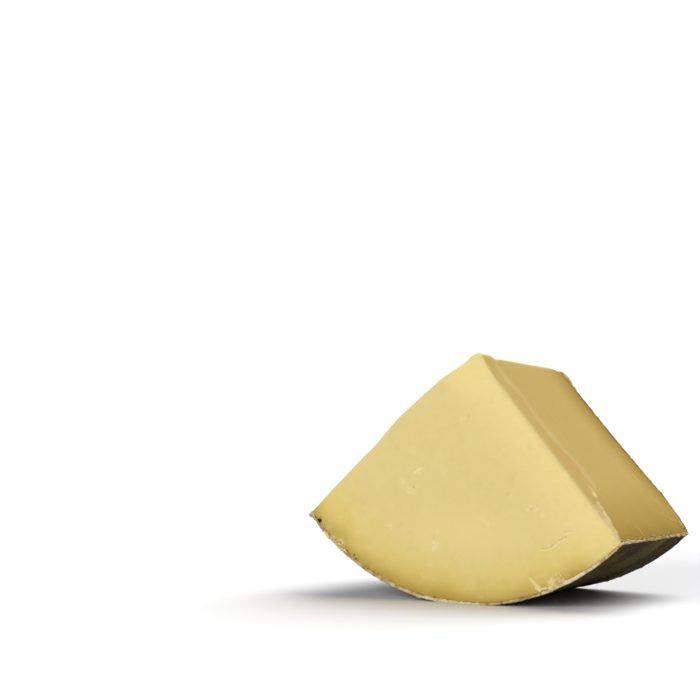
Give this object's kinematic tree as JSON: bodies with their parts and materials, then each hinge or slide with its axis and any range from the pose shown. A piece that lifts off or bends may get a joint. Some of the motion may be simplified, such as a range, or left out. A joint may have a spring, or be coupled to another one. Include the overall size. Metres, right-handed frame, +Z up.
{
  "type": "cheddar wedge",
  "caption": "Wedge of cloth-bound cheddar cut from one end of a tall wheel, pale yellow cut faces and a mottled grey-brown rind on its curved side and end, lying on the rind.",
  "frame": {"origin": "middle of the narrow flat on the rind that the wedge rests on, straight below the wheel's axis", "axes": "+X to the right along the front cut face, +Y from the front cut face back to the wheel's end face, +Z up"},
  "size_m": [0.2091, 0.1229, 0.1432],
  "materials": {
    "paste": "waxy satin, pale yellow hard cheese"
  },
  "bodies": {
    "root": {"wedge": "paste"}
  },
  "joints": []
}
